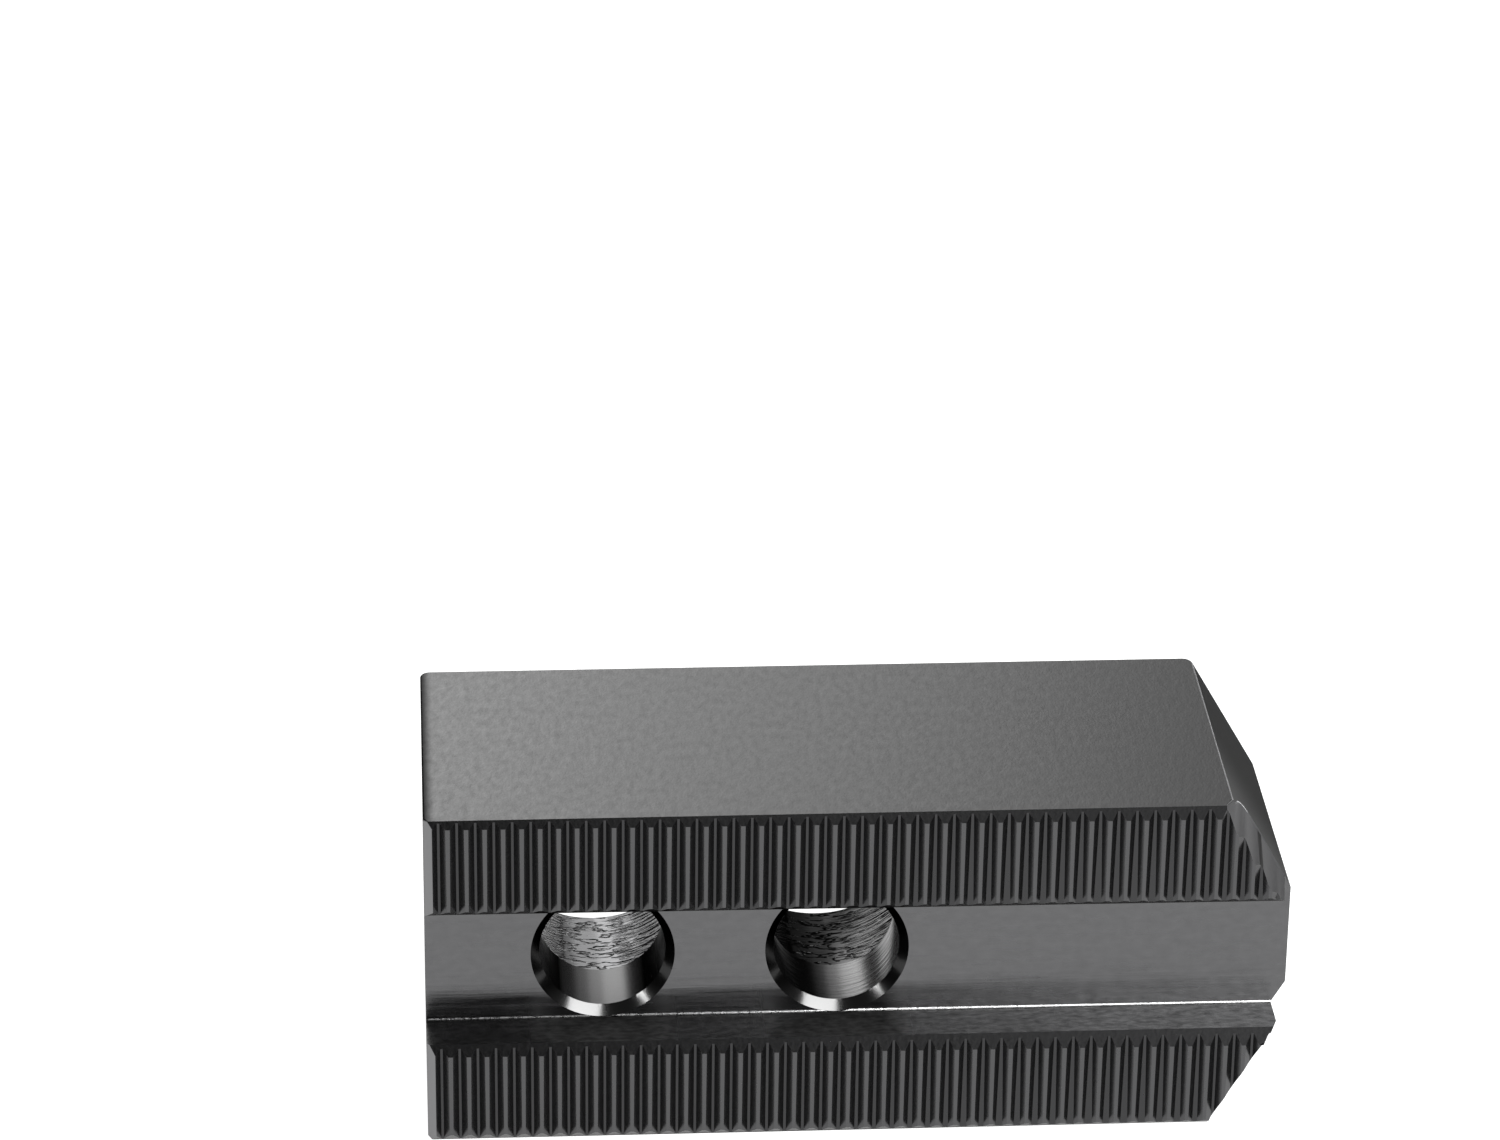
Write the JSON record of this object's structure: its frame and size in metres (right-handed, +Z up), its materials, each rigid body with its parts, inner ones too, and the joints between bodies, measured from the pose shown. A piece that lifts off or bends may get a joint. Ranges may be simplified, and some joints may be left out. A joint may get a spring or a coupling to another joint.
{
  "type": "chuck top jaw",
  "caption": "Hard top jaw for a lathe chuck: a blunt-nosed steel block with serrated ribs, a tongue groove between them and counterbored screw holes.",
  "frame": {"origin": "on the long side that the jaw lies on, under the middle of its length and height", "axes": "+X along the length towards the blunt nose, -Y the way the serrated ribs face, +Y out of the back, +Z up across the width"},
  "size_m": [0.0762, 0.0294, 0.0318],
  "materials": {
    "black_steel": "black oxide over milled and ground steel, semi-gloss"
  },
  "bodies": {
    "root": {"top_jaw": "black_steel"}
  },
  "joints": []
}
